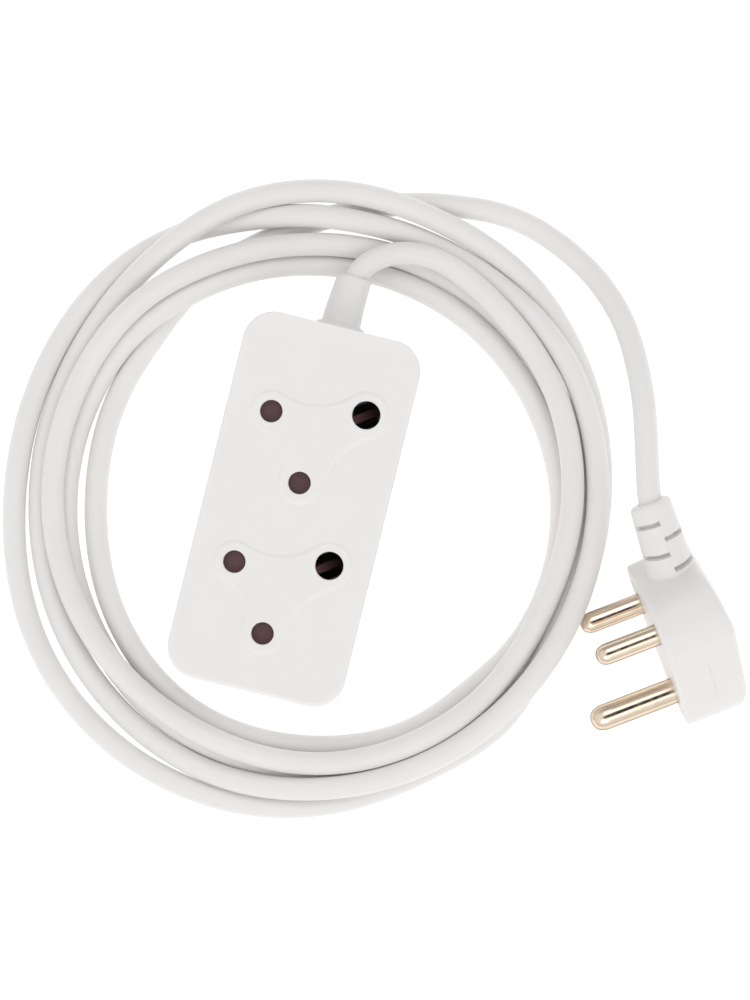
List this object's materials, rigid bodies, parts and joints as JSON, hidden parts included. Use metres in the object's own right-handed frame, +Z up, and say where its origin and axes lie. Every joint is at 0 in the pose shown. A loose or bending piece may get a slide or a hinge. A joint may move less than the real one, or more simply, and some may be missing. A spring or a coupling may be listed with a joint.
{
  "type": "extension cord",
  "caption": "White extension cord: trailing socket with shuttered round-pin outlets, coiled round sheathed cord and moulded plug with brass pins.",
  "frame": {"origin": "centre of the socket housing's underside", "axes": "+Z up out of the outlets, +Y along the housing towards the cord's exit, +X towards the plug"},
  "size_m": [0.2623, 0.2229, 0.0483],
  "materials": {
    "housing_plastic": "white moulded plastic with a soft sheen",
    "cord_sheath": "flexible white PVC, smooth",
    "plug_plastic": "flexible white moulded PVC",
    "pin_brass": "bare brass, lightly polished",
    "contact_brass": "stamped strip, satin",
    "screw_steel": "zinc plated",
    "spring_steel": "drawn wire",
    "shutter_plastic": "dark brown moulded plastic",
    "inner_plastic": "ivory moulded plastic",
    "live_core": "brown PVC insulation",
    "neutral_core": "blue PVC insulation",
    "earth_core": "green and yellow PVC insulation"
  },
  "bodies": {
    "housing": {"base_shell": "housing_plastic", "cable_gland": "plug_plastic", "carrier_screw_1": "screw_steel", "carrier_screw_2": "screw_steel", "clamp_screw_1": "screw_steel", "clamp_screw_2": "screw_steel", "cord_clamp": "inner_plastic", "cord_coil": "cord_sheath", "cord_plug_lead": "cord_sheath", "cord_socket_lead": "cord_sheath", "cord_tail": "cord_sheath", "earth_bus": "contact_brass", "earth_contact_1": "contact_brass", "earth_contact_2": "contact_brass", "earth_pin": "pin_brass", "earth_plug_wire": "earth_core", "earth_terminal_screw": "screw_steel", "earth_wire": "earth_core", "housing_screw_1": "screw_steel", "housing_screw_2": "screw_steel", "housing_screw_3": "screw_steel", "housing_screw_4": "screw_steel", "live_bus": "contact_brass", "live_contact_1": "contact_brass", "live_contact_2": "contact_brass", "live_pin": "pin_brass", "live_plug_wire": "live_core", "live_terminal_screw": "screw_steel", "live_wire": "live_core", "neutral_bus": "contact_brass", "neutral_contact_1": "contact_brass", "neutral_contact_2": "contact_brass", "neutral_pin": "pin_brass", "neutral_plug_wire": "neutral_core", "neutral_terminal_screw": "screw_steel", "neutral_wire": "neutral_core", "pin_carrier": "inner_plastic", "plug_body": "plug_plastic", "plug_strain_relief": "plug_plastic", "shutter_carrier": "inner_plastic", "shutter_spring_1": "spring_steel", "shutter_spring_2": "spring_steel", "top_cover": "housing_plastic"},
    "shutter_1": {"shutter_1": "shutter_plastic"},
    "shutter_2": {"shutter_2": "shutter_plastic"}
  },
  "joints": [
    {"name": "shutter_1_slide", "type": "slide", "parent": "housing", "child": "shutter_1", "axis": [-0.8171, -0.5764, 0], "range_m": [0, 0.0095], "stiffness_N_per_m": 40, "springref_m": -0.003, "deforming": ["shutter_spring_1"]},
    {"name": "shutter_2_slide", "type": "slide", "parent": "housing", "child": "shutter_2", "axis": [-0.8171, -0.5764, 0], "range_m": [0, 0.0095], "stiffness_N_per_m": 40, "springref_m": -0.003, "deforming": ["shutter_spring_2"]}
  ]
}
